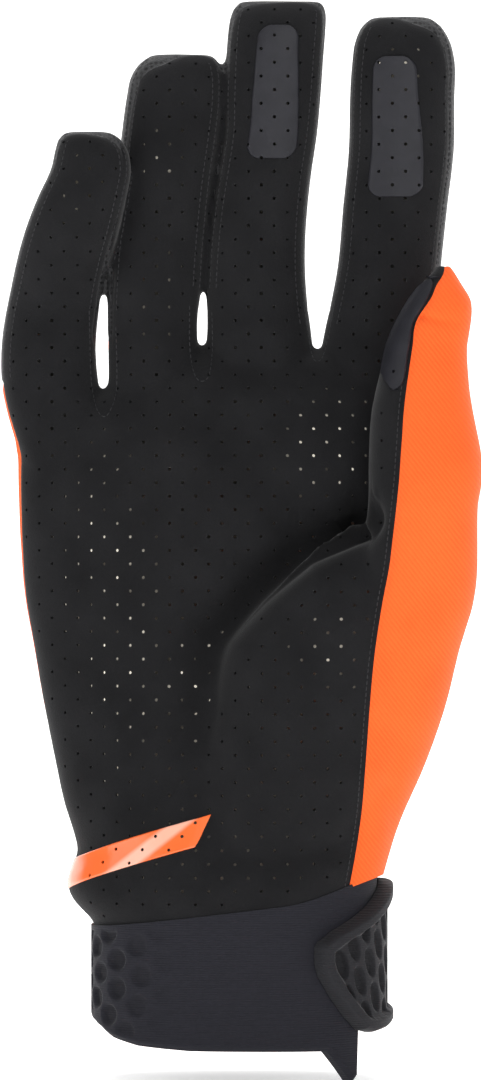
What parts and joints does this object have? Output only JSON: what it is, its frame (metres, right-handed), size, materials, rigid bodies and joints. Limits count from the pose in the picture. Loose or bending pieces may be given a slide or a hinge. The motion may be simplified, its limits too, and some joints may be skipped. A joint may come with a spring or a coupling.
{
  "type": "off-road riding glove",
  "caption": "Right-hand riding glove as worn: perforated palm, stretch back, mesh finger backs, grip patches, padded cuff with closure tab.",
  "frame": {"origin": "centre of the mouth of the cuff, where the wrist goes in", "axes": "+Z from the cuff to the fingertips, -Y out of the palm, +X towards the thumb"},
  "size_m": [0.1075, 0.0559, 0.2415],
  "materials": {
    "suede_black": "matte",
    "stretch_orange": "matte",
    "mesh_black": "matte",
    "grip_grey": "satin",
    "film_orange": "gloss",
    "neoprene_dark": "matte",
    "tab_dark": "matte"
  },
  "bodies": {
    "root": {"palm_panel": "suede_black", "hand_back_panel": "stretch_orange", "thumb_panel": "stretch_orange", "index_back_panel": "mesh_black", "middle_back_panel": "mesh_black", "ring_back_panel": "mesh_black", "little_back_panel": "mesh_black", "index_grip_patch": "grip_grey", "middle_grip_patch": "grip_grey", "thumb_grip_patch": "grip_grey", "accent_stripe": "film_orange", "cuff": "neoprene_dark", "closure_tab": "tab_dark"}
  },
  "joints": []
}
